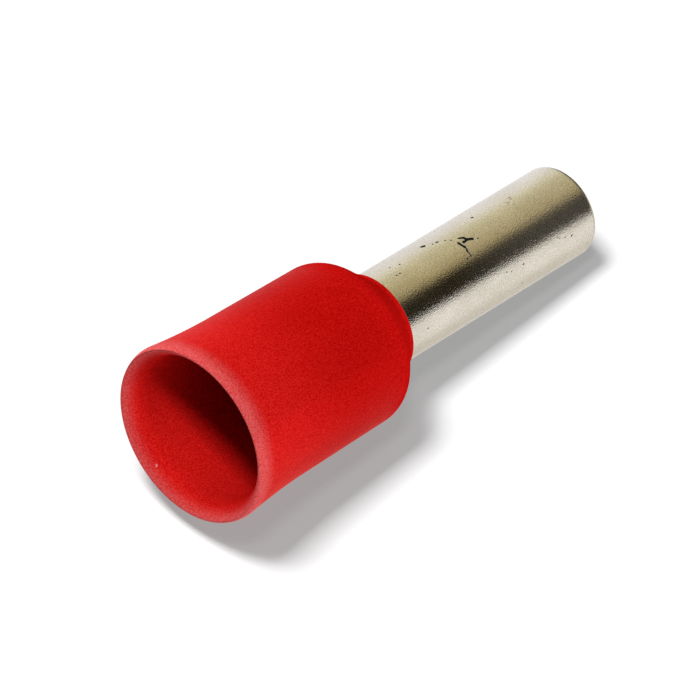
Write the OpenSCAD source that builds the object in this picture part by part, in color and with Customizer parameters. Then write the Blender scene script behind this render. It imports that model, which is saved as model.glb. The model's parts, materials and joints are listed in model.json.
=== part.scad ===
// Insulated wire end terminal: a tin-plated tube with a moulded insulating collar.
// The mouth's rim stands on z = 0 and the pin points up, along the axis of symmetry.

/* [Tube] */
// Outside diameter of the tube
tube_d = 2.15; // [1.6:0.05:2.8]
// Wall of the tube
tube_wall = 0.2; // [0.1:0.01:0.4]
// Bare length of the pin, past the collar
pin_length = 6.25; // [4:0.05:18]
// Radius on the outer edge of the tip
tip_radius = 0.14; // [0.02:0.01:0.3]
// Radius on the inner edge of the tip
tip_bore_radius = 0.03; // [0.01:0.01:0.05]
// Angle from the axis that the bell at the hidden end opens to
bell_angle = 58; // [45:1:65]
// Room between the bell's rim and the collar's bore
bell_room = 0.15; // [0.05:0.01:0.2]

/* [Collar] */
// Length of the collar, from the mouth's rim to the end of the neck
collar_length = 5.75; // [4.5:0.05:12]
// Bore that takes the wire's insulation
bore_d = 3.4; // [3.2:0.05:5]
// Wall of the body where it meets the shoulder
body_wall = 0.2; // [0.12:0.01:0.5]
// Draft of the mould: gain in the wall from the shoulder to the lip
draft = 0.05; // [0:0.01:0.1]
// Height of the shoulder's cone, between the body and the neck
shoulder_length = 0.76; // [0.4:0.02:2]
// Radius on the edge between the body and the shoulder
shoulder_radius = 0.6; // [0.05:0.05:0.8]
// Length of the neck, past the shoulder
neck_length = 0.15; // [0.12:0.01:1.5]
// Wall of the neck's end over the tube
neck_wall = 0.12; // [0.05:0.01:0.3]
// Draft of the neck: gain in its wall from the end to the shoulder
neck_draft = 0.02; // [0.005:0.005:0.05]
// Radius on the neck's outer edge
neck_radius = 0.05; // [0.01:0.01:0.1]
// Radius in the corner between the shoulder and the neck
neck_fillet = 0.1; // [0.02:0.01:0.12]
// Length of the neck's grip on the tube, up to the bell's seat
grip_length = 0.4; // [0.2:0.05:1]
// Clearance between the tube and the collar
fit_clearance = 0.01; // [0.005:0.005:0.05]

/* [Mouth] */
// Rise of the flared lip over the body
lip_rise = 0.1; // [0.04:0.01:0.3]
// Length of the flare
flare_length = 2.3; // [0.8:0.1:2.5]
// Straight outside of the lip, between the rim's edge and the flare
lip_land = 0.04; // [0.01:0.01:0.2]
// Radius of the arc between the rim and the lip's outside
rim_radius = 0.3; // [0.15:0.01:0.6]
// Width of the rim that this arc takes
rim_round = 0.05; // [0.02:0.01:0.14]
// Radius of the arc that opens the bore towards the rim
entry_radius = 0.7; // [0.3:0.05:1]
// Width of the rim that the open entry takes
entry_flare = 0.275; // [0.05:0.005:0.28]

/* [Hidden] */
$fn = 96;

// an edge's circle is this much larger than one that only touches its sides, so that it cuts them
edge_overlap = 1.002;
// the flare's arc ends this far under the body's surface, for the same reason
flare_sink = 0.002;
// share of its wall that a rounded edge may take, and what it may take on the tip's outside
edge_share = 0.48;
tip_share = 0.8;
// share of the rim's width that its outer arc may take, and of what is left that the open entry may
rim_share = 0.4;
entry_share = 0.92;

total_length = collar_length + pin_length;

tube_r = tube_d / 2;
tube_bore_r = tube_r - tube_wall;
tip_edge = min(tip_radius, tube_wall * tip_share);
tip_bore_edge = min(tip_bore_radius, (tube_wall - tip_edge) * edge_share);

bore_r = bore_d / 2;
rear_r = bore_r + body_wall;
front_r = rear_r + draft;
lip_r = front_r + lip_rise;
neck_z = collar_length - neck_length;
shoulder_z = neck_z - shoulder_length;

// the neck's bore, and its outside at the end and at the shoulder
grip_r = tube_r + fit_clearance;
neck_r = grip_r + neck_wall;
neck_foot_r = neck_r + neck_draft;
neck_edge = min(neck_radius, neck_wall * edge_share);

// the bell is an arc, in whole micrometres, that leaves the tube's wall at bell_z
bell_z = collar_length - grip_length;
bell_rise = bore_r - bell_room - tube_r;
bell_radius = round(1000 * bell_rise / (1 - cos(bell_angle))) / 1000;
bell_center = [tube_r + bell_radius, bell_z];

// the collar's seat is the same arc less the clearance, carried on to the bore
seat_radius = bell_radius - fit_clearance;
seat_depth = sqrt(pow(seat_radius, 2) - pow(bell_center.x - bore_r, 2));
seat_z = bell_z - seat_depth;

// the flare is an arc from the lip's straight outside to the body, whose draft starts at lip_z
rim_wall = lip_r - bore_r;
rim_gain = min(rim_round, rim_wall * rim_share);
rim_depth = arc_depth(rim_radius, rim_gain);
entry_gain = min(entry_flare, (rim_wall - rim_gain) * entry_share);
entry_depth = arc_depth(entry_radius, entry_gain);
lip_z = rim_depth + lip_land;
arc_height = flare_length - lip_z;
flare_foot_r = front_r - draft * arc_height / (shoulder_z - lip_z) - flare_sink;
flare_rise = lip_r - flare_foot_r;
flare_radius = (pow(arc_height, 2) + pow(flare_rise, 2)) / (2 * flare_rise);

// Height of an arc that starts upright and leans out by the given width.
function arc_depth(radius, width) = sqrt(pow(radius, 2) - pow(radius - width, 2));

// Unit vector from one point to another.
function toward(from, to) = (to - from) / norm(to - from);

// Half of the angle at a corner, given as the points before it, at it and after it.
function half_angle(corner) =
    acos(toward(corner[1], corner[0]) * toward(corner[1], corner[2])) / 2;

// Points where a circle of the given radius touches the two sides of a corner.
function touch_points(corner, radius) =
    let (reach = radius / tan(half_angle(corner)))
    [for (side = [0, 2]) corner[1] + toward(corner[1], corner[side]) * reach];

// Center of that circle.
function circle_center(corner, radius) =
    let (inward = toward(corner[1], corner[0]) + toward(corner[1], corner[2]))
    corner[1] + inward / norm(inward) * radius / sin(half_angle(corner));

// What comes off at a corner: the area outside its circle, or at a fillet the circle itself.
module corner_cut(corner, radius) {
    center = circle_center(corner, abs(radius));
    arms = [for (p = touch_points(corner, abs(radius))) p - center];
    translate(center)
        if (radius < 0)
            circle(r = -radius * edge_overlap);
        else
            difference() {
                polygon([[0, 0], 2 * arms[0], 2 * (arms[0] + arms[1]), 2 * arms[1]]);
                circle(r = radius * edge_overlap);
            }
}

// Outline through corners of [r, z, radius]. A radius above zero rounds a corner off, and one
// below zero puts a fillet into a hollow corner, which a chord bridges first.
module rounded_outline(corners) {
    count = len(corners);
    points = [for (c = corners) [c.x, c.y]];
    radii = [for (c = corners) c.z];
    trios = [
        for (i = [0 : count - 1])
            [points[(i + count - 1) % count], points[i], points[(i + 1) % count]]
    ];
    difference() {
        polygon([
            for (i = [0 : count - 1])
                each radii[i] < 0 ? touch_points(trios[i], -radii[i]) : [points[i]]
        ]);
        for (i = [0 : count - 1])
            if (radii[i] != 0)
                corner_cut(trios[i], radii[i]);
    }
}

// Straight wall of the tube, from the bell to the tip.
module tube_wall_section() {
    rounded_outline([
        [tube_bore_r, bell_z, 0],
        [tube_r, bell_z, 0],
        [tube_r, total_length, tip_edge],
        [tube_bore_r, total_length, tip_bore_edge],
    ]);
}

// Belled end: a ring of the wall's thickness, kept between the tube and the bell's angle.
module bell_section() {
    reach = 2 * (bell_radius + tube_wall);
    translate(bell_center)
        intersection() {
            difference() {
                circle(r = bell_radius + tube_wall);
                circle(r = bell_radius);
            }
            polygon([
                [0, 0],
                [-reach, 0],
                [-reach, -reach * tan(bell_angle / 2)],
                [-reach * cos(bell_angle), -reach * sin(bell_angle)],
            ]);
        }
}

// Body, shoulder and neck of the collar, as if solid.
module body_section() {
    rounded_outline([
        [0, lip_z, 0],
        [front_r, lip_z, 0],
        [rear_r, shoulder_z, shoulder_radius],
        [neck_foot_r, neck_z, -neck_fillet],
        [neck_r, collar_length, neck_edge],
        [0, collar_length, 0],
    ]);
}

// What comes off a rim from its face up to the given depth and width, outside an arc that leans out.
module rim_cut(radius, width, depth) {
    difference() {
        translate([0, -depth])
            square([width, 2 * depth]);
        translate([radius, depth])
            circle(r = radius * edge_overlap);
    }
}

// Flared lip round the mouth, as if solid.
module lip_section() {
    difference() {
        square([lip_r, flare_length]);
        translate([lip_r, 0])
            mirror([1, 0])
                rim_cut(rim_radius, rim_gain, rim_depth);
        translate([flare_foot_r + flare_radius, flare_length])
            circle(r = flare_radius);
    }
}

// Hollow of the collar: the wide bore with its open entry, the bell's seat and the grip.
module hollow_section() {
    square([bore_r, seat_z]);
    translate([bore_r, 0])
        rim_cut(entry_radius, entry_gain, entry_depth);
    translate([0, seat_z])
        difference() {
            square([bore_r, seat_depth]);
            translate(bell_center - [0, seat_z])
                circle(r = seat_radius);
        }
    square([grip_r, collar_length]);
}

module conductor_sleeve() {
    color([0.78, 0.75, 0.68])
        rotate_extrude() {
            tube_wall_section();
            bell_section();
        }
}

module insulating_collar() {
    color([0.78, 0.08, 0.07])
        rotate_extrude()
            difference() {
                union() {
                    body_section();
                    lip_section();
                }
                hollow_section();
            }
}

conductor_sleeve();
insulating_collar();
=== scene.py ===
"""Insulated wire end terminal: finished surfaces for its tinned tube and moulded collar, and a stage."""

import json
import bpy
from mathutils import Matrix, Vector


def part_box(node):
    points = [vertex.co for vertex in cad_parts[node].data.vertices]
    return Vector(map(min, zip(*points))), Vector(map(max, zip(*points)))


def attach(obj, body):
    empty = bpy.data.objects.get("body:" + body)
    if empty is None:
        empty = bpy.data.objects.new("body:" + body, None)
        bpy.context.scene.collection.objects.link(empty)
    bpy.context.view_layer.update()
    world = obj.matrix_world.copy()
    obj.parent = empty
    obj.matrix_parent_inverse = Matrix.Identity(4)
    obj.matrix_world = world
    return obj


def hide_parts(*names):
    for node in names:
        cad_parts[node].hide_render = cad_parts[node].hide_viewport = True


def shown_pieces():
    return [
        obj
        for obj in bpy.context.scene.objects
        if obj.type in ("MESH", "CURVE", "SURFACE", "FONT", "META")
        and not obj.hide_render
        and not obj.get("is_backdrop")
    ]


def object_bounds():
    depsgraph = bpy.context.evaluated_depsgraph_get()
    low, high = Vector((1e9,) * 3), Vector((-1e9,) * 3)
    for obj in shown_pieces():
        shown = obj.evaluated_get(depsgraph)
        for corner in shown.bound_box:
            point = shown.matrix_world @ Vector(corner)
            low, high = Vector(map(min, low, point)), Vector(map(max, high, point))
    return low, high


bl_info = {
    "name": "Wire End Terminal",
    "version": (1, 0, 0),
    "blender": (4, 5, 0),
    "location": "View3D > Sidebar > Terminal",
    "description": "Builds the tinned tube, the moulded collar and the photo stage of a wire end terminal",
    "category": "Add Mesh",
}

from math import atan2, cos, pi, radians, sin

import bpy
import numpy as np
from mathutils import Matrix, Vector

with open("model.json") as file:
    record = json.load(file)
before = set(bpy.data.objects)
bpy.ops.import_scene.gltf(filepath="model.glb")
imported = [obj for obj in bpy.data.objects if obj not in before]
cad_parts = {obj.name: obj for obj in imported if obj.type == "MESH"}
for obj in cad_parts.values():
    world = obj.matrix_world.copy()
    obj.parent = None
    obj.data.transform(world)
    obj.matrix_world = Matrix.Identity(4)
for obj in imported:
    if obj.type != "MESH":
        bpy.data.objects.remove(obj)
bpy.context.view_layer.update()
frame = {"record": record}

MM = 0.001
BODY = "root"

COLLAR_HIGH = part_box("insulating_collar")[1]
SLEEVE_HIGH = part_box("conductor_sleeve")[1]
RADII = {m["name"]: m["dims"]["r_mm"] * MM for m in frame["record"]["mounts"] if "r_mm" in m["dims"]}

# height where the bell leaves the tube and its seat leaves the grip, and room between tube and grip
BELL_HEIGHT = 5.35 * MM
FIT_CLEARANCE = 0.01 * MM

# steps round the axis, along a rounded edge and along a straight side
TURN_STEPS = 256
EDGE_STEPS = 16
SIDE_STEPS = 14

# the photo's frame, and where the middle of the mouth lies in it, in pixels
IMAGE_SIZE = 700
MOUTH_PIXEL = (189.1, 436.6)

# width of the camera's sensor, and how near and how far it sees
SENSOR = 36 * MM
CLIP_NEAR, CLIP_FAR = 1 * MM, 1000 * MM

# shader nodes stand this far apart, in rows of this many
NODE_STEP = (190, -260)
ROW_NODES = 12

# sockets of a Mix node that blends colours
MIX_SHARE, MIX_FIRST, MIX_SECOND = 0, 6, 7
MIX_RESULT = 2

# octaves of a noise, and the value that it swings about
NOISE_DETAIL = 2.0
NOISE_MIDDLE = 0.5

WHITE = (1.0, 1.0, 1.0)


def length(name, description, default):
    """A size in metres."""
    return bpy.props.FloatProperty(
        name=name, description=description, default=default, min=0, precision=6, unit="LENGTH"
    )


def angle(name, description, degrees):
    """An angle, kept in radians."""
    return bpy.props.FloatProperty(
        name=name, description=description, default=radians(degrees), unit="ROTATION"
    )


def level(name, description, default):
    """A plain number from zero up."""
    return bpy.props.FloatProperty(name=name, description=description, default=default, min=0)


def swing(name, description, default):
    """The two numbers that a grain swings a value between."""
    return bpy.props.FloatVectorProperty(name=name, description=description, default=default, size=2, min=0)


def colour(name, description, default):
    """A linear colour."""
    return bpy.props.FloatVectorProperty(
        name=name, description=description, default=default, size=3, min=0, max=1, subtype="COLOR"
    )


class SleeveSettings(bpy.types.PropertyGroup):
    """Sizes and finish of the tinned tube."""

    radius: length("Radius", "Outside of the tube", RADII["pin"])
    bore: length("Bore", "Inside of the tube", RADII["conductor_bore"])
    height: length("Tip height", "Height of the tip over the mouth's rim", SLEEVE_HIGH.z)
    tip_edge: length("Tip edge", "Radius on the outer edge of the tip", 0.14 * MM)
    tip_bore_edge: length("Tip bore edge", "Radius on the inner edge of the tip", 0.03 * MM)
    bell_height: length("Bell height", "Height where the bell leaves the tube", BELL_HEIGHT)
    bell_radius: length("Bell radius", "Outside of the bell at its rim", SLEEVE_HIGH.x)
    bell_angle: angle("Bell angle", "Angle from the axis that the bell opens to", 58)
    tin: colour("Tin", "Clean tin plate", (0.76, 0.71, 0.63))
    dull_tin: colour("Dull tin", "Plate in a dull patch", (0.68, 0.63, 0.54))
    pit: colour("Pit", "Open pits and cracks in the plate", (0.012, 0.009, 0.006))
    grain: length("Grain", "Cell of the fine grain", 0.03 * MM)
    grain_contrast: level("Grain contrast", "Contrast of the fine grain", 1.6)
    shade: swing("Shade", "Swing of the colour with the fine grain", (0.80, 1.20))
    roughness: swing("Roughness", "Swing of the roughness with the fine grain", (0.08, 0.16))
    bump: level("Bump", "Strength of the relief", 0.6)
    relief: length("Relief", "Depth of the fine grain", 0.0065 * MM)
    streak_width: length("Streak width", "Width of the streaks along the drawn tube", 0.05 * MM)
    streak_length: length("Streak length", "Length of those streaks", 0.6 * MM)
    streak_contrast: level("Streak contrast", "Contrast of those streaks", 1.4)
    streak_relief: level("Streak relief", "Depth of the streaks over that of the grain", 0.15)
    patch_width: length("Patch width", "Width of the dull patches", 0.5 * MM)
    patch_length: length("Patch length", "Length of the dull patches", 0.9 * MM)
    patch_contrast: level("Patch contrast", "Contrast of the dull patches", 2.2)
    pit_cell: length("Pit cell", "Cell of the plate that may hold a pit", 0.22 * MM)
    pit_share: level("Pit share", "Share of those cells with a pit", 0.10)
    pit_radius: length("Pit radius", "Radius of a pit", 0.020 * MM)
    pit_relief: level("Pit relief", "Depth of pits and cracks over that of the grain", 0.3)
    bloom: level("Bloom", "Share of matt bloom on the plate by the tip", 0.045)
    bloom_start: length("Bloom start", "Height where the bloom starts", 7.2 * MM)
    bloom_end: length("Bloom end", "Height where the bloom is full", 10.4 * MM)


class CollarSettings(bpy.types.PropertyGroup):
    """Sizes and finish of the moulded collar."""

    height: length("Height", "From the mouth's rim to the end of the neck", COLLAR_HIGH.z)
    lip: length("Lip radius", "Outside of the flared lip", COLLAR_HIGH.x)
    bore: length("Bore", "Bore that takes the wire's insulation", RADII["wire_entry"])
    rim_arc: length("Rim arc", "Radius of the arc between the rim and the lip's outside", 0.3 * MM)
    rim_round: length("Rim rounding", "Width of the rim that this arc takes", 0.05 * MM)
    entry_arc: length("Entry arc", "Radius of the arc that opens the bore towards the rim", 0.7 * MM)
    entry_flare: length("Entry flare", "Width of the rim that the open entry takes", 0.275 * MM)
    lip_land: length("Lip land", "Straight outside of the lip", 0.04 * MM)
    flare_height: length("Flare height", "Height where the flare ends", 2.3 * MM)
    front: length("Front radius", "Outside of the body at the lip, flare left out", 1.95 * MM)
    rear: length("Rear radius", "Outside of the body at the shoulder", 1.9 * MM)
    shoulder_height: length("Shoulder height", "Height of the edge of the shoulder", 4.84 * MM)
    shoulder_edge: length("Shoulder edge", "Radius on the edge of the shoulder", 0.6 * MM)
    neck_height: length("Neck height", "Height where the neck starts", 5.6 * MM)
    neck_foot: length("Neck foot", "Outside of the neck at the shoulder", 1.225 * MM)
    neck: length("Neck radius", "Outside of the neck at its end", 1.205 * MM)
    neck_fillet: length("Neck fillet", "Radius between the shoulder and the neck", 0.1 * MM)
    neck_edge: length("Neck edge", "Radius on the neck's outer edge", 0.05 * MM)
    grip: length("Grip", "Bore of the neck", RADII["pin"] + FIT_CLEARANCE)
    grip_edge: length("Grip edge", "Radius on the neck's inner edge", 0.02 * MM)
    seat_height: length("Seat height", "Height where the bell's seat starts", BELL_HEIGHT)
    seat_arc: length("Seat arc", "Radius of the seat's arc", 1.0 * MM)
    # Red and deep red hold painted light and shade: the red is painted lighter near the mouth, as if light
    # shone through the thin wall, and the deep red is painted shade towards the shoulder.
    red: colour("Red", "Plastic near the mouth, where light comes through", (0.68, 0.010, 0.0085))
    painted_shade_red: colour("Deep red", "Plastic towards the shoulder", (0.515, 0.004, 0.0033))
    painted_shade_start: length("Red end", "Height where the red starts to deepen", 0.3 * MM)
    painted_shade_full: length("Deep start", "Height where the deep red is full", 3.5 * MM)
    grain: length("Grain", "Cell of the fine grain", 0.032 * MM)
    grain_contrast: level("Grain contrast", "Contrast of the fine grain", 3.0)
    shade: swing("Shade", "Swing of the red with the fine grain", (0.82, 1.13))
    pale_shade: swing("Pale shade", "Swing of the green and blue with the fine grain", (0.35, 1.95))
    bump: level("Bump", "Strength of the relief", 0.6)
    relief: length("Relief", "Depth of the fine grain", 0.003 * MM)
    coarse: length("Coarse grain", "Cell of the coarse grain", 0.16 * MM)
    coarse_contrast: level("Coarse contrast", "Contrast of the coarse grain", 2.0)
    coarse_relief: level("Coarse relief", "Depth of the coarse grain over that of the fine", 0.8)
    roughness: swing("Roughness", "Swing of the roughness with the coarse grain", (0.20, 0.30))
    gloss: level("Gloss", "Share of mirror gloss on the body, up to the shoulder", 0.15)
    patch: length("Patch", "Cell of the soft patches", 1.2 * MM)
    patch_contrast: level("Patch contrast", "Contrast of the soft patches", 1.8)
    patch_shade: level("Patch shade", "What a patch adds to the red", 0.05)
    # Painted sheen: a paler band on the rim's crest, set by the rim red and the three settings after it.
    painted_rim_sheen: colour("Rim red", "Thin rim of the mouth, where light comes through", (0.77, 0.13, 0.13))
    rim_depth: length("Rim depth", "How far the pale rim reaches along the axis", 0.55 * MM)
    rim_sheen_width: length("Rim width", "How far the pale rim reaches inwards", 0.28 * MM)
    rim_sheen_share: swing("Rim share", "Swing of the pale rim with the fine grain", (0.35, 1.0))
    # Painted highlight: the colour of the glint in the mouth and of the pale line on the neck's outer edge,
    # and how far that line reaches.
    painted_highlight: colour("Speck", "Grain of dust in the mouth, and the neck's worn edge", (0.80, 0.22, 0.22))
    neck_highlight_depth: length("Worn depth", "How far the neck's worn edge reaches along the axis", 0.04 * MM)
    neck_highlight_width: length("Worn width", "How far the neck's worn edge reaches inwards", 0.06 * MM)


class StageSettings(bpy.types.PropertyGroup):
    """Camera, table and floor."""

    azimuth: angle("Azimuth", "Camera's place round the axis", 215.35)
    elevation: angle("Elevation", "Camera's height over the mouth's rim", -38.14)
    roll: angle("Roll", "Turn of the camera round its line of sight", 58.5)
    distance: length("Distance", "From the camera to the middle of the mouth", 124 * MM)
    focal: length("Focal length", "Focal length on the sensor", 304.4 * MM)
    table_angle: angle("Table angle", "Camera's height over the table that the part lies on", 47.2)
    table_side: angle("Table side", "Lean of that table to the camera's right", 3.8)
    stage_size: length("Stage size", "Side of the table and of the floor", 160 * MM)
    paint: colour("Paint", "What the table and floor send back of the light on them", (0.08, 0.08, 0.08))
    table_glow: level("Table glow", "Brightness of the table where its lamp is shut out", 0.33)
    floor_glow: level("Floor glow", "Brightness of the floor where its lamp is shut out", 0.55)


# Geometry


def unit(vector):
    """The vector at length one."""
    return vector / np.linalg.norm(vector)


def eased(start, end, steps):
    """Points of a straight side, both ends left out. Their shares of it are (1 - cos) / 2 of even angles,
    so they crowd at the ends."""
    share = 0.5 - 0.5 * np.cos(np.linspace(0, np.pi, steps + 1)[1:-1, None])
    return np.asarray(start) * (1 - share) + np.asarray(end) * share


def arc(center, radius, start, end, steps):
    """Points on a circle, even in angle: center + radius * (cos, sin), with angles in radians."""
    turn = np.linspace(start, end, steps + 1)
    return np.asarray(center) + radius * np.stack([np.cos(turn), np.sin(turn)], axis=1)


def corner_arc(before, corner, after, radius, steps=EDGE_STEPS):
    """Arc that rounds a corner: its circle touches both sides, and its points are the two arms of the
    touching points turned into each other, sin((1 - t) w) a + sin(t w) b over sin(w)."""
    before, corner, after = (np.asarray(p, float) for p in (before, corner, after))
    back, on = unit(before - corner), unit(after - corner)
    half = np.arccos(np.clip(back @ on, -1, 1)) / 2
    center = corner + unit(back + on) * radius / np.sin(half)
    reach = radius / np.tan(half)
    first, last = corner + back * reach - center, corner + on * reach - center
    sweep = np.pi - 2 * half
    t = np.linspace(0, 1, steps + 1)[:, None]
    return center + (np.sin((1 - t) * sweep) * first + np.sin(t * sweep) * last) / np.sin(sweep)


def chain(pieces):
    """Closed outline through rounded edges in order, with eased straight sides between them."""
    after = pieces[1:] + pieces[:1]
    return np.concatenate(
        [part for a, b in zip(pieces, after) for part in (a, eased(a[-1], b[0], SIDE_STEPS))]
    )


def sleeve_outline(s):
    """Half section of the tube, as points of radius and height: the bell's rim, the bell's outer arc, the
    outside of the tube, the rounded tip, the bore and the bell's inner arc."""
    wall = s.radius - s.bore
    turn = np.pi + s.bell_angle
    bell_arc = (s.bell_radius - s.radius) / (1 - np.cos(s.bell_angle))
    center = (s.radius + bell_arc, s.bell_height)
    tip, bore_tip, foot = (s.radius, s.height), (s.bore, s.height), (s.bore, s.bell_height)
    return chain(
        [
            arc(center, bell_arc, turn, np.pi, 2 * EDGE_STEPS),
            corner_arc((s.radius, s.bell_height), tip, bore_tip, s.tip_edge),
            corner_arc(tip, bore_tip, foot, s.tip_bore_edge),
            arc(center, bell_arc + wall, np.pi, turn, 2 * EDGE_STEPS),
        ]
    )


def lean(radius, width):
    """Angle at which an arc that starts upright has leaned out by the given width: acos((r - w) / r)."""
    return np.arccos((radius - width) / radius)


def body_side(s, low, top):
    """Outside of the body between two heights: the larger of the drafted cone and the flare, which is an
    arc that stands upright at the flare's end."""
    heights = np.concatenate([[low], eased(low, top, 4 * SIDE_STEPS)[:, 0], [top]])
    cone = s.front + (s.rear - s.front) * (heights - low) / (s.shoulder_height - low)
    rise = s.flare_height - low
    foot = s.front + (s.rear - s.front) * rise / (s.shoulder_height - low)
    flare_arc = (rise**2 + (s.lip - foot) ** 2) / (2 * (s.lip - foot))
    drop = np.clip(s.flare_height - heights, 0, None)
    flare = foot + flare_arc - np.sqrt(flare_arc**2 - drop**2)
    return np.stack([np.where(drop > 0, np.maximum(cone, flare), cone), heights], axis=1)


def collar_outline(s):
    """Half section of the collar, as points of radius and height: the open entry, the rim's outer arc, the
    flared body, the rounded shoulder, the fillet, the neck, the grip, the bell's seat and the bore."""
    entry_end, rim_start = lean(s.entry_arc, s.entry_flare), lean(s.rim_arc, s.rim_round)
    entry_depth, rim_depth = s.entry_arc * np.sin(entry_end), s.rim_arc * np.sin(rim_start)
    low = rim_depth + s.lip_land
    front, rear = (s.front, low), (s.rear, s.shoulder_height)
    foot, end, grip = (s.neck_foot, s.neck_height), (s.neck, s.height), (s.grip, s.height)
    seat_foot = (s.grip, s.seat_height)
    center = (s.grip + s.seat_arc, s.seat_height)
    seat_end = np.pi + np.arccos((center[0] - s.bore) / s.seat_arc)
    shoulder = corner_arc(front, rear, foot, s.shoulder_edge, 2 * EDGE_STEPS)
    return chain(
        [
            arc((s.bore + s.entry_arc, entry_depth), s.entry_arc, np.pi, np.pi + entry_end, EDGE_STEPS),
            arc((s.lip - s.rim_arc, rim_depth), s.rim_arc, -rim_start, 0, EDGE_STEPS),
            np.concatenate([body_side(s, low, shoulder[0, 1])[:-1], shoulder]),
            corner_arc(rear, foot, end, s.neck_fillet),
            corner_arc(foot, end, grip, s.neck_edge),
            corner_arc(end, grip, seat_foot, s.grip_edge),
            arc(center, s.seat_arc, np.pi, seat_end, 2 * EDGE_STEPS),
        ]
    )


def turned(name, outline):
    """Closed surface of revolution: each point (r, z) of the outline goes to (r cos a, r sin a, z) for even
    angles a, and four neighbours on the grid make a face that looks outwards."""
    count = len(outline)
    turn = np.linspace(0, 2 * np.pi, TURN_STEPS, endpoint=False)
    ring = np.stack([np.cos(turn), np.sin(turn), np.ones(TURN_STEPS)], axis=1)
    points = outline[:, None, [0, 0, 1]] * ring[None]
    index = np.arange(count * TURN_STEPS).reshape(count, TURN_STEPS)
    on, up = np.roll(index, -1, axis=1), np.roll(index, -1, axis=0)
    faces = np.stack([index, on, np.roll(up, -1, axis=1), up], axis=-1)
    return surface(name, points.reshape(-1, 3), faces.reshape(-1, 4))


def surface(name, points, faces):
    """Smooth mesh object at the origin."""
    mesh = bpy.data.meshes.new(name)
    mesh.from_pydata(points.tolist(), [], faces.tolist())
    mesh.shade_smooth()
    mesh.validate()
    made = bpy.data.objects.new(name, mesh)
    bpy.context.scene.collection.objects.link(made)
    return made


def points_of(thing):
    """All points of a mesh object as one array."""
    flat = np.empty(3 * len(thing.data.vertices))
    thing.data.vertices.foreach_get("co", flat)
    return flat.reshape(-1, 3)


# Shader nodes


def put(tree, kind, links=None, **settings):
    """Adds a node. Settings are its own attributes, and links its inputs, each a value or a socket."""
    row, column = divmod(len(tree.nodes), ROW_NODES)
    made = tree.nodes.new(kind)
    made.location = (NODE_STEP[0] * column, NODE_STEP[1] * row)
    for name, value in settings.items():
        setattr(made, name, value)
    for name, value in (links or {}).items():
        if isinstance(value, bpy.types.NodeSocket):
            tree.links.new(value, made.inputs[name])
        else:
            made.inputs[name].default_value = value
    return made


def calc(tree, operation, first, second=0.0, third=0.0):
    """Output of a Math node."""
    return put(tree, "ShaderNodeMath", {0: first, 1: second, 2: third}, operation=operation).outputs[0]


def vector_math(tree, operation, first, second=(0, 0, 0)):
    """Vector and value outputs of a Vector Math node."""
    return put(tree, "ShaderNodeVectorMath", {0: first, 1: second}, operation=operation).outputs


def scaled(tree, vector, factor):
    """Vector or colour times a number."""
    return put(tree, "ShaderNodeVectorMath", {0: vector, "Scale": factor}, operation="SCALE").outputs[0]


def blend(tree, share, first, second):
    """Colour between two others."""
    links = {MIX_SHARE: share, MIX_FIRST: first, MIX_SECOND: second}
    return put(tree, "ShaderNodeMix", links, data_type="RGBA").outputs[MIX_RESULT]


def spread(tree, value, low, high, to_low=0.0, to_high=1.0):
    """Smooth step of a value from one range to another."""
    links = {"Value": value, "From Min": low, "From Max": high, "To Min": to_low, "To Max": to_high}
    return put(tree, "ShaderNodeMapRange", links, interpolation_type="SMOOTHSTEP").outputs[0]


def swung(tree, grain, limits):
    """Number that a grain swings between two limits."""
    return spread(tree, grain, 0.0, 1.0, *limits)


def part_height(tree):
    """Height over the mouth's rim."""
    place = put(tree, "ShaderNodeTexCoord").outputs["Object"]
    return put(tree, "ShaderNodeSeparateXYZ", {0: place}).outputs["Z"]


def rgba(linear):
    """A colour with alpha."""
    return (*linear, 1)


def new_group(name, inputs, output):
    """Empty node group, with its input and output nodes."""
    group = bpy.data.node_groups.new(name, "ShaderNodeTree")
    for label, kind in inputs:
        group.interface.new_socket(label, in_out="INPUT", socket_type=kind)
    group.interface.new_socket(output, in_out="OUTPUT", socket_type="NodeSocketFloat")
    return group, put(group, "NodeGroupInput"), put(group, "NodeGroupOutput")


def grain_group():
    """Noise in cells of a given size along each axis, from 0 to 1 about one half."""
    inputs = [("Cell", "NodeSocketVector"), ("Contrast", "NodeSocketFloat")]
    group, given, result = new_group("Surface grain", inputs, "Grain")
    place = put(group, "ShaderNodeTexCoord").outputs["Object"]
    in_cells = vector_math(group, "DIVIDE", place, given.outputs["Cell"])[0]
    noise = put(group, "ShaderNodeTexNoise", {"Vector": in_cells, "Scale": 1.0, "Detail": NOISE_DETAIL})
    offset = calc(group, "SUBTRACT", noise.outputs[0], NOISE_MIDDLE)
    raised = calc(group, "MULTIPLY_ADD", offset, given.outputs["Contrast"], NOISE_MIDDLE)
    clamped = put(group, "ShaderNodeClamp", {"Value": raised}).outputs[0]
    group.links.new(clamped, result.inputs["Grain"])
    return group


def speck_group():
    """Round specks: a share of the cells of a jittered lattice have one, about the cell's point. It is full
    up to a share of its radius."""
    inputs = [(name, "NodeSocketFloat") for name in ("Cell", "Share", "Radius")]
    group, given, result = new_group("Specks", inputs, "Mask")
    full_share = 0.4
    place = put(group, "ShaderNodeTexCoord").outputs["Object"]
    scale = calc(group, "DIVIDE", 1.0, given.outputs["Cell"])
    cells = put(group, "ShaderNodeTexVoronoi", {"Vector": place, "Scale": scale})
    chance = put(group, "ShaderNodeSeparateXYZ", {0: cells.outputs["Color"]}).outputs[0]
    kept = calc(group, "LESS_THAN", chance, given.outputs["Share"])
    size = calc(group, "DIVIDE", given.outputs["Radius"], given.outputs["Cell"])
    core = calc(group, "MULTIPLY", size, full_share)
    round_spot = spread(group, cells.outputs["Distance"], core, size, 1.0, 0.0)
    group.links.new(calc(group, "MULTIPLY", round_spot, kept), result.inputs["Mask"])
    return group


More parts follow.
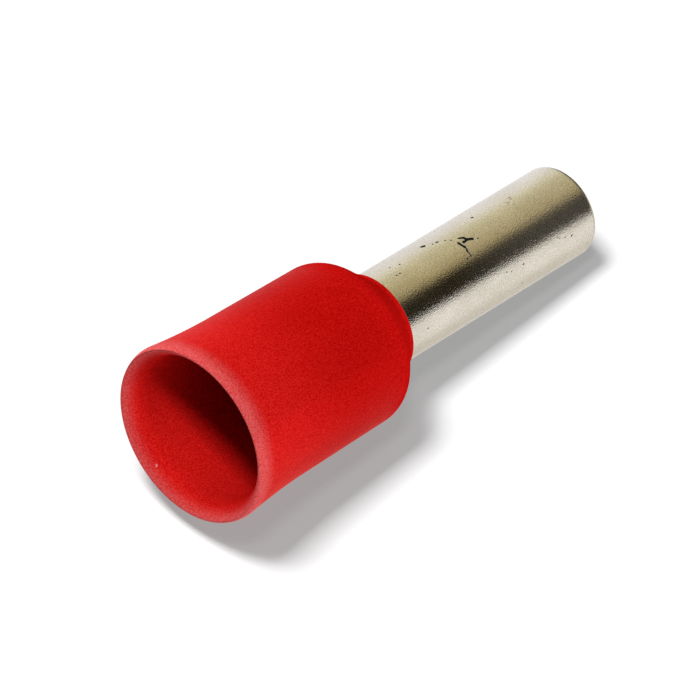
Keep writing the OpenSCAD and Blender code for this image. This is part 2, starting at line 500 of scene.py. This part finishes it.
def stroke_group():
    """One stroke between two points: where the distance to the line between them, with a little waviness,
    is under a half width. It is full up to a share of that, and a line of hardly any length is a dot."""
    inputs = [(name, "NodeSocketVector") for name in ("Start", "End")]
    inputs.append(("Half Width", "NodeSocketFloat"))
    group, given, result = new_group("Stroke", inputs, "Mask")
    wave_length, wave_height = 0.06 * MM, 0.05 * MM
    least_square = 1e-12
    full_share = 0.5
    place = put(group, "ShaderNodeTexCoord").outputs["Object"]
    waves = {"Vector": place, "Scale": 1 / wave_length, "Detail": NOISE_DETAIL}
    noise = put(group, "ShaderNodeTexNoise", waves)
    shift = vector_math(group, "SUBTRACT", noise.outputs["Color"], (NOISE_MIDDLE,) * 3)[0]
    wavy = vector_math(group, "MULTIPLY", shift, (wave_height,) * 3)[0]
    moved = vector_math(group, "ADD", place, wavy)[0]
    along = vector_math(group, "SUBTRACT", given.outputs["End"], given.outputs["Start"])[0]
    offset = vector_math(group, "SUBTRACT", moved, given.outputs["Start"])[0]
    over = vector_math(group, "DOT_PRODUCT", offset, along)[1]
    square = calc(group, "MAXIMUM", vector_math(group, "DOT_PRODUCT", along, along)[1], least_square)
    share = put(group, "ShaderNodeClamp", {"Value": calc(group, "DIVIDE", over, square)}).outputs[0]
    nearest = scaled(group, along, share)
    gap = vector_math(group, "LENGTH", vector_math(group, "SUBTRACT", offset, nearest)[0])[1]
    core = calc(group, "MULTIPLY", given.outputs["Half Width"], full_share)
    mask = spread(group, gap, core, given.outputs["Half Width"], 1.0, 0.0)
    group.links.new(mask, result.inputs["Mask"])
    return group


def edge_group():
    """Thin edge: full on a crest, given as a radius and a level, and gone at a reach along the axis and at
    another inwards."""
    inputs = [(name, "NodeSocketFloat") for name in ("Crest", "Level", "Along", "In")]
    group, given, result = new_group("Thin edge", inputs, "Mask")
    place = put(group, "ShaderNodeTexCoord").outputs["Object"]
    height = put(group, "ShaderNodeSeparateXYZ", {0: place}).outputs["Z"]
    radius = vector_math(group, "LENGTH", vector_math(group, "MULTIPLY", place, (1, 1, 0))[0])[1]
    off = calc(group, "ABSOLUTE", calc(group, "SUBTRACT", height, given.outputs["Level"]))
    inside = calc(group, "SUBTRACT", given.outputs["Crest"], radius)
    outer = spread(group, off, 0.0, given.outputs["Along"], 1.0, 0.0)
    inner = spread(group, inside, 0.0, given.outputs["In"], 1.0, 0.0)
    group.links.new(calc(group, "MULTIPLY", outer, inner), result.inputs["Mask"])
    return group


def shared(name, maker):
    """The named node group, made on first use."""
    return bpy.data.node_groups.get(name) or maker()


def placed(tree, group, links):
    """Output of a node group with its own values."""
    return put(tree, "ShaderNodeGroup", links, node_tree=group).outputs[0]


def empty_material(name):
    """Material with only its output node."""
    material = bpy.data.materials.new(name)
    material.use_nodes = True
    material.node_tree.nodes.clear()
    return material, material.node_tree, put(material.node_tree, "ShaderNodeOutputMaterial")


# Strokes of the tube's plate, each from one place to another, as degrees round from the side that faces the
# camera and millimetres of height, with a half width in millimetres.
STROKES = [
    ((-55.0, 7.545), (-53.8, 7.585), 0.058),
    ((-48.9, 7.755), (-48.9, 7.765), 0.030),
    ((-48.0, 7.86), (-47.2, 7.909), 0.028),
    ((-43.2, 8.055), (-43.2, 8.065), 0.020),
    ((-38.6, 8.15), (-38.4, 8.165), 0.028),
    ((-34.9, 8.343), (-32.3, 8.434), 0.045),
    ((-32.3, 8.434), (-27.6, 8.462), 0.054),
    ((-27.6, 8.462), (-25.6, 8.574), 0.054),
    ((-27.4, 8.333), (-27.6, 8.462), 0.046),
    ((-29.5, 8.215), (-21.3, 8.251), 0.044),
    ((-21.3, 8.251), (-17.4, 8.252), 0.028),
    ((-17.4, 8.252), (-15.0, 8.227), 0.036),
    ((-15.0, 8.227), (-8.2, 8.222), 0.028),
    ((-8.6, 8.222), (-8.2, 8.222), 0.034),
    ((-8.0, 8.092), (-7.8, 8.092), 0.036),
    ((-22.1, 8.695), (-22.1, 8.705), 0.024),
    ((-53, 9.15), (-53, 9.17), 0.036),
    ((-52, 6.435), (-52, 6.445), 0.027),
    ((-48, 6.675), (-48, 6.685), 0.024),
    ((-36, 6.325), (-36, 6.335), 0.024),
    ((-36, 6.425), (-36, 6.445), 0.024),
    ((-50.0, 10.27), (-48.4, 10.335), 0.012),
    ((-46.4, 10.33), (-45.2, 10.265), 0.012),
    ((-45.0, 10.095), (-43.6, 10.16), 0.012),
    ((-41.6, 10.155), (-40.4, 10.09), 0.012),
    ((31.0, 8.958), (31.0, 8.968), 0.018),
    ((33.6, 9.093), (33.6, 9.103), 0.018),
    ((33.6, 9.50), (33.6, 9.512), 0.024),
    ((59.7, 9.486), (59.7, 9.496), 0.021),
    ((26.7, 10.674), (26.7, 10.684), 0.018),
    ((29.5, 10.742), (29.5, 10.752), 0.016),
    ((32.3, 10.912), (32.3, 10.922), 0.018),
    ((35.1, 11.12), (35.1, 11.135), 0.027),
    ((40, 6.335), (40, 6.345), 0.024),
]

# A painted glint inside the mouth, a highlight painted as a pale spot, by the same measures, and its
# distance from the axis.
MOUTH_GLINT = ((174.5, 0.19), (175.5, 0.20), 0.03)
MOUTH_GLINT_RADIUS = 1.80 * MM


def on_round(radius, facing, place):
    """Point at a radius, at an angle from the facing side and at a height in millimetres."""
    turn = facing + radians(place[0])
    return (radius * cos(turn), radius * sin(turn), place[1] * MM)


def stroke(tree, radius, facing, row):
    """Mask of one stroke on a round surface of the given radius."""
    start, end, half_width = row
    links = {
        "Start": on_round(radius, facing, start),
        "End": on_round(radius, facing, end),
        "Half Width": half_width * MM,
    }
    return placed(tree, shared("Stroke", stroke_group), links)


def plate_marks(tree, s, facing):
    """Mask of the small pits all over the plate, and of the strokes where it is cracked or scratched."""
    links = {"Cell": s.pit_cell, "Share": s.pit_share, "Radius": s.pit_radius}
    marks = placed(tree, shared("Specks", speck_group), links)
    for row in STROKES:
        marks = calc(tree, "MAXIMUM", marks, stroke(tree, s.radius, facing, row))
    return marks


def tin_plate(s, facing):
    """Satin tin plate: fine grain, streaks along the drawn tube, dull patches, pits and cracks, and a matt
    bloom by the tip."""
    material, tree, result = empty_material("tin_plate")
    grains = shared("Surface grain", grain_group)
    streak_cell = (s.streak_width, s.streak_width, s.streak_length)
    patch_cell = (s.patch_width, s.patch_width, s.patch_length)
    fine = placed(tree, grains, {"Cell": (s.grain,) * 3, "Contrast": s.grain_contrast})
    streaks = placed(tree, grains, {"Cell": streak_cell, "Contrast": s.streak_contrast})
    patches = placed(tree, grains, {"Cell": patch_cell, "Contrast": s.patch_contrast})
    marks = plate_marks(tree, s, facing)
    plate = blend(tree, patches, rgba(s.tin), rgba(s.dull_tin))
    grainy = scaled(tree, plate, swung(tree, fine, s.shade))
    bloom = spread(tree, part_height(tree), s.bloom_start, s.bloom_end, 0.0, s.bloom)
    raised = calc(tree, "MULTIPLY_ADD", streaks, s.streak_relief, fine)
    sunk = calc(tree, "MULTIPLY_ADD", marks, -s.pit_relief, raised)
    bump = put(tree, "ShaderNodeBump", {"Height": sunk, "Strength": s.bump, "Distance": s.relief})
    finish = {
        "Base Color": blend(tree, marks, grainy, rgba(s.pit)),
        "Metallic": calc(tree, "SUBTRACT", 1.0, calc(tree, "MAXIMUM", marks, bloom)),
        "Roughness": calc(tree, "MAXIMUM", swung(tree, fine, s.roughness), marks),
        "Specular IOR Level": 0.0,
        "Normal": bump.outputs[0],
    }
    shader = put(tree, "ShaderNodeBsdfPrincipled", finish)
    tree.links.new(shader.outputs[0], result.inputs["Surface"])
    return material


def red_plastic(s, facing):
    """Satin moulded plastic: fine and coarse grain, soft patches, a red painted lighter near the mouth and
    darker towards the shoulder as painted light and shade, a painted sheen on the rim, a painted highlight
    on the neck's edge and a painted glint in the mouth. Its gloss ends at the rounded shoulder."""
    material, tree, result = empty_material("red_plastic")
    grains = shared("Surface grain", grain_group)
    fine = placed(tree, grains, {"Cell": (s.grain,) * 3, "Contrast": s.grain_contrast})
    coarse = placed(tree, grains, {"Cell": (s.coarse,) * 3, "Contrast": s.coarse_contrast})
    patches = placed(tree, grains, {"Cell": (s.patch,) * 3, "Contrast": s.patch_contrast})
    up = part_height(tree)
    # Painted light and shade: the red lightens near the mouth and deepens towards the shoulder with height.
    body = blend(tree, spread(tree, up, s.painted_shade_start, s.painted_shade_full), rgba(s.red), rgba(s.painted_shade_red))
    strong = calc(tree, "MULTIPLY_ADD", patches, s.patch_shade, swung(tree, fine, s.shade))
    pale = swung(tree, fine, s.pale_shade)
    tint = put(tree, "ShaderNodeCombineXYZ", {0: strong, 1: pale, 2: pale}).outputs[0]
    grainy = vector_math(tree, "MULTIPLY", body, tint)[0]
    edges = shared("Thin edge", edge_group)
    rim_crest = {"Crest": s.lip - s.rim_round, "Level": 0.0}
    neck_crest = {"Crest": s.neck, "Level": s.height}
    # Painted sheen on the rim's crest.
    rim = placed(tree, edges, {**rim_crest, "Along": s.rim_depth, "In": s.rim_sheen_width})
    # Painted highlight along the neck's outer edge.
    neck_highlight = placed(tree, edges, {**neck_crest, "Along": s.neck_highlight_depth, "In": s.neck_highlight_width})
    # Painted glint in the mouth.
    mouth_glint = stroke(tree, MOUTH_GLINT_RADIUS, facing, MOUTH_GLINT)
    rim_sheen_grain = calc(tree, "MULTIPLY", rim, swung(tree, fine, s.rim_sheen_share))
    rim_sheened = blend(tree, rim_sheen_grain, grainy, rgba(s.painted_rim_sheen))
    raised = calc(tree, "MULTIPLY_ADD", coarse, s.coarse_relief, fine)
    bump = put(tree, "ShaderNodeBump", {"Height": raised, "Strength": s.bump, "Distance": s.relief})
    gloss_end = s.shoulder_height - s.shoulder_edge
    finish = {
        # Painted highlights of the neck's edge and of the glint in the mouth, over the red.
        "Base Color": blend(tree, calc(tree, "MAXIMUM", neck_highlight, mouth_glint), rim_sheened, rgba(s.painted_highlight)),
        "Metallic": spread(tree, up, gloss_end, s.shoulder_height, s.gloss, 0.0),
        "Roughness": swung(tree, coarse, s.roughness),
        "Specular IOR Level": 0.0,
        "Normal": bump.outputs[0],
    }
    shader = put(tree, "ShaderNodeBsdfPrincipled", finish)
    tree.links.new(shader.outputs[0], result.inputs["Surface"])
    return material


# Stage


class View:
    """The photo's camera as three directions in the part's frame, right, up and back to the camera, with
    the upward direction of its table and the angle round the axis of the side that faces it."""

    def __init__(self, s):
        round_axis, over = s.azimuth, s.elevation
        self.back = Vector((sin(round_axis) * cos(over), -cos(round_axis) * cos(over), sin(over)))
        level_right = Vector((cos(round_axis), sin(round_axis), 0))
        level_up = self.back.cross(level_right)
        self.right = cos(s.roll) * level_right + sin(s.roll) * level_up
        self.up = cos(s.roll) * level_up - sin(s.roll) * level_right
        level_table = cos(s.table_angle) * self.up + sin(s.table_angle) * self.back
        self.table_up = cos(s.table_side) * level_table + sin(s.table_side) * self.right
        self.facing = atan2(self.back.y, self.back.x)

    def direction(self, right, up, back):
        """Unit vector with the given parts along right, up and back."""
        return (right * self.right + up * self.up + back * self.back).normalized()


def add_camera(s, view):
    """Camera without shift: it stands so that the middle of the mouth falls on its pixel."""
    data = bpy.data.cameras.new("camera")
    data.sensor_width = SENSOR / MM
    data.lens = s.focal / MM
    data.clip_start, data.clip_end = CLIP_NEAR, CLIP_FAR
    made = bpy.data.objects.new("camera", data)
    bpy.context.scene.collection.objects.link(made)
    per_pixel = s.distance * SENSOR / IMAGE_SIZE / s.focal
    aside = (IMAGE_SIZE / 2 - MOUTH_PIXEL[0]) * per_pixel
    above = (MOUTH_PIXEL[1] - IMAGE_SIZE / 2) * per_pixel
    place = aside * view.right + above * view.up + s.distance * view.back
    turn = Matrix((view.right, view.up, view.back)).transposed().to_quaternion()
    made.matrix_world = Matrix.LocRotScale(place, turn, None)
    bpy.context.scene.camera = made


def sheet(name, center, normal, glow, s):
    """One-sided pale square: the camera sees its front, with shadows on it, and all other rays go
    through."""
    across = normal.orthogonal().normalized()
    along = normal.cross(across)
    signs = ((-1, -1), (1, -1), (1, 1), (-1, 1))
    corners = [center + s.stage_size / 2 * (a * across + b * along) for a, b in signs]
    made = surface(name, np.array(corners), np.array([[0, 1, 2, 3]]))
    material, tree, result = empty_material(name)
    seen = put(tree, "ShaderNodeLightPath").outputs["Is Camera Ray"]
    behind = put(tree, "ShaderNodeNewGeometry").outputs["Backfacing"]
    shown = calc(tree, "MULTIPLY", seen, calc(tree, "SUBTRACT", 1.0, behind))
    paint = put(tree, "ShaderNodeBsdfDiffuse", {"Color": rgba(s.paint)}).outputs[0]
    shine = put(tree, "ShaderNodeEmission", {"Strength": glow}).outputs[0]
    front = put(tree, "ShaderNodeAddShader", {0: paint, 1: shine}).outputs[0]
    through = put(tree, "ShaderNodeBsdfTransparent").outputs[0]
    mixed = put(tree, "ShaderNodeMixShader", {0: shown, 1: through, 2: front}).outputs[0]
    tree.links.new(mixed, result.inputs["Surface"])
    made.data.materials.append(material)
    made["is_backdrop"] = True
    return made


# Lamps by name: the axes that the direction towards it is given in, that direction, its distance and its
# side in millimetres, its brightness, and the sheet that it lights alone, if it does. The camera's axes
# are right, up and back.
LAMPS = {
    "key": ("camera", (-0.016, 0.349, 0.937), 300, 45, 0.80, None),
    "side": ("camera", (-0.695, 0.638, -0.332), 300, 120, 0.70, None),
    "fill": ("part", (-0.45, -0.70, 0.56), 300, 150, 0.40, None),
    "table_lamp": ("camera", (-0.238, 0.589, 0.772), 350, 90, 8.6, "table"),
    "floor_lamp": ("part", (0.35, -0.25, 0.9), 300, 120, 6.6, "floor"),
}


def softbox(name, aim, toward, distance, size, brightness):
    """Square lamp. At this power a white surface that faces it has the given brightness: the irradiance of
    power P on its axis is P over pi times the distance squared, and white sends back that over pi."""
    data = bpy.data.lights.new(name, "AREA")
    data.shape, data.size = "SQUARE", size
    data.energy = brightness * (pi * distance) ** 2
    made = bpy.data.objects.new(name, data)
    bpy.context.scene.collection.objects.link(made)
    made.location = aim + toward * distance
    made.rotation_mode = "QUATERNION"
    made.rotation_quaternion = toward.to_track_quat("Z", "Y")
    return made


def only_on(lamp, thing):
    """Lets a lamp light one thing alone."""
    receivers = bpy.data.collections.new(lamp.name)
    receivers.objects.link(thing)
    lamp.light_linking.receiver_collection = receivers


def add_lamps(view, aim, sheets):
    """All lamps, turned to one point. The part mirrors none of them."""
    for name, (axes, parts, distance, size, brightness, target) in LAMPS.items():
        toward = view.direction(*parts) if axes == "camera" else Vector(parts).normalized()
        lamp = softbox(name, aim, toward, distance * MM, size * MM, brightness)
        if target:
            only_on(lamp, sheets[target])
        else:
            lamp.visible_glossy = False


# What the plate mirrors, by the angle round the axis from the side that faces the camera, in degrees: a
# bright backdrop, a warm wall, the dark side of the room, the white table, the table in shade and the
# backdrop again.
SURROUNDINGS = [
    (-180, (0.93, 0.92, 0.92)),
    (-118, (0.93, 0.92, 0.93)),
    (-100, (0.92, 0.89, 0.79)),
    (-84, (0.81, 0.77, 0.56)),
    (-68, (0.68, 0.63, 0.40)),
    (-54, (0.67, 0.61, 0.39)),
    (-40, (0.59, 0.51, 0.30)),
    (-28, (0.55, 0.48, 0.27)),
    (-15, (0.37, 0.30, 0.16)),
    (-6, (0.022, 0.018, 0.013)),
    (44, (0.015, 0.012, 0.010)),
    (50, (0.99, 0.98, 0.97)),
    (98, (0.99, 0.98, 0.97)),
    (120, (0.74, 0.71, 0.65)),
    (160, (0.72, 0.69, 0.62)),
    (180, (0.93, 0.92, 0.92)),
]
FULL_TURN = 360
RAMP_MIDDLE = 0.5

# Over them is a roof, which turns from dark to light between two angles round the axis, and below them the
# dark. The heights where these begin and end are sines.
ROOF_DARK = (0.12, 0.11, 0.055)
ROOF_LIGHT = (0.62, 0.61, 0.54)
ROOF_TURN = (pi / 4, pi / 3)
ROOF_RISE = (0.70, 0.82)
DARK = (0.05, 0.05, 0.05)
DARK_RISE = (-0.80, -0.50)

# Soft light on the plastic: it grows towards one side, given along the camera's right, up and back, between
# two cosines from it, and fades into the dark below between two heights.
SOFT_SIDE = (0.35, -0.85, -0.40)
SOFT_RANGE = (-0.3, 0.6)
SOFT_DIM = (0.22, 0.22, 0.22)
SOFT_RISE = (-0.85, -0.55)


def mirrored_room(tree, view, place, height):
    """Colour of the surroundings in a direction: a ramp round the axis, with the roof over it and the dark
    below it."""
    links = {"Vector": place, "Angle": -view.facing}
    from_facing = put(tree, "ShaderNodeVectorRotate", links, rotation_type="Z_AXIS").outputs[0]
    parts = put(tree, "ShaderNodeSeparateXYZ", {0: from_facing}).outputs
    turn = calc(tree, "ARCTAN2", parts["Y"], parts["X"])
    share = calc(tree, "MULTIPLY_ADD", turn, RAMP_MIDDLE / pi, RAMP_MIDDLE)
    ramp = put(tree, "ShaderNodeValToRGB", {0: share})
    stops = ramp.color_ramp.elements
    while len(stops) < len(SURROUNDINGS):
        stops.new(RAMP_MIDDLE)
    for stop, (degrees, tint) in zip(stops, SURROUNDINGS):
        stop.position = degrees / FULL_TURN + RAMP_MIDDLE
        stop.color = rgba(tint)
    roof = blend(tree, spread(tree, turn, *ROOF_TURN), rgba(ROOF_DARK), rgba(ROOF_LIGHT))
    walls = blend(tree, spread(tree, height, *ROOF_RISE), ramp.outputs[0], roof)
    return blend(tree, spread(tree, height, *DARK_RISE), rgba(DARK), walls)


def soft_light(tree, view, place, height):
    """Even light of a direction, brighter towards one side and dark below."""
    nearness = vector_math(tree, "DOT_PRODUCT", place, tuple(view.direction(*SOFT_SIDE)))[1]
    even = blend(tree, spread(tree, nearness, *SOFT_RANGE), rgba(SOFT_DIM), rgba(WHITE))
    return blend(tree, spread(tree, height, *SOFT_RISE), rgba(DARK), even)


def add_world(view):
    """White for the camera, the surroundings for mirrored and bent rays, and soft light for the rest."""
    world = bpy.data.worlds.new("surroundings")
    bpy.context.scene.world = world
    world.use_nodes = True
    world.cycles.sampling_method = "NONE"
    tree = world.node_tree
    tree.nodes.clear()
    place = put(tree, "ShaderNodeTexCoord").outputs["Generated"]
    height = put(tree, "ShaderNodeSeparateXYZ", {0: place}).outputs["Z"]
    path = put(tree, "ShaderNodeLightPath").outputs
    mirrored = calc(tree, "MAXIMUM", path["Is Glossy Ray"], path["Is Transmission Ray"])
    soft = soft_light(tree, view, place, height)
    seen = blend(tree, mirrored, soft, mirrored_room(tree, view, place, height))
    shown = blend(tree, path["Is Camera Ray"], seen, rgba(WHITE))
    background = put(tree, "ShaderNodeBackground", {"Color": shown, "Strength": 1.0})
    result = put(tree, "ShaderNodeOutputWorld")
    tree.links.new(background.outputs[0], result.inputs["Surface"])


# Operators


def finish_piece(piece, material, node):
    """Gives a piece its material, and says what it stands for."""
    piece.data.materials.append(material)
    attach(piece, BODY)
    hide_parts(node)


class TERMINAL_OT_sleeve(bpy.types.Operator):
    """Builds the tinned tube with its bell and rounded tip"""

    bl_idname = "terminal.sleeve"
    bl_label = "Tinned Tube"

    def execute(self, context):
        s = context.scene.terminal_sleeve
        facing = View(context.scene.terminal_stage).facing
        piece = turned("tinned_tube", sleeve_outline(s))
        finish_piece(piece, tin_plate(s, facing), "conductor_sleeve")
        return {"FINISHED"}


class TERMINAL_OT_collar(bpy.types.Operator):
    """Builds the moulded collar with its flared mouth and neck"""

    bl_idname = "terminal.collar"
    bl_label = "Moulded Collar"

    def execute(self, context):
        s = context.scene.terminal_collar
        facing = View(context.scene.terminal_stage).facing
        piece = turned("moulded_collar", collar_outline(s))
        finish_piece(piece, red_plastic(s, facing), "insulating_collar")
        return {"FINISHED"}


class TERMINAL_OT_stage(bpy.types.Operator):
    """Sets up the camera, the table, the floor and the light"""

    bl_idname = "terminal.stage"
    bl_label = "Photo Stage"

    def execute(self, context):
        s = context.scene.terminal_stage
        view = View(s)
        add_camera(s, view)
        add_world(view)
        low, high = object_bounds()
        middle = (low + high) / 2
        up = view.table_up
        depth = max(float(np.max(points_of(piece) @ -np.array(up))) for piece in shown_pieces())
        table_place = middle - up * (depth + middle.dot(up))
        sheets = {
            "table": sheet("table", table_place, up, s.table_glow, s),
            "floor": sheet("floor", Vector((0, 0, low.z)), Vector((0, 0, 1)), s.floor_glow, s),
        }
        add_lamps(view, middle, sheets)
        context.scene.view_settings.view_transform = "Standard"
        return {"FINISHED"}


class TERMINAL_PT_sidebar(bpy.types.Panel):
    """Lists the pieces of the terminal and their settings"""

    bl_idname = "TERMINAL_PT_sidebar"
    bl_label = "Wire End Terminal"
    bl_space_type = "VIEW_3D"
    bl_region_type = "UI"
    bl_category = "Terminal"

    def draw(self, context):
        for operator, settings in zip(OPERATORS, SETTINGS):
            box = self.layout.box()
            box.operator(operator.bl_idname)
            for name in SETTINGS[settings].__annotations__:
                box.prop(getattr(context.scene, settings), name)


OPERATORS = (TERMINAL_OT_sleeve, TERMINAL_OT_collar, TERMINAL_OT_stage)
SETTINGS = {
    "terminal_sleeve": SleeveSettings,
    "terminal_collar": CollarSettings,
    "terminal_stage": StageSettings,
}
CLASSES = (*SETTINGS.values(), *OPERATORS, TERMINAL_PT_sidebar)


def register():
    """Registers the classes, and puts the settings on the scene."""
    for made in CLASSES:
        bpy.utils.register_class(made)
    for name, settings in SETTINGS.items():
        setattr(bpy.types.Scene, name, bpy.props.PointerProperty(type=settings))


def unregister():
    """Takes the settings off the scene, and the classes out."""
    for name in SETTINGS:
        delattr(bpy.types.Scene, name)
    for made in reversed(CLASSES):
        bpy.utils.unregister_class(made)


def main():
    """Builds the pieces and the stage."""
    register()
    bpy.ops.terminal.sleeve()
    bpy.ops.terminal.collar()
    bpy.ops.terminal.stage()


if __name__ == "__main__":
    main()
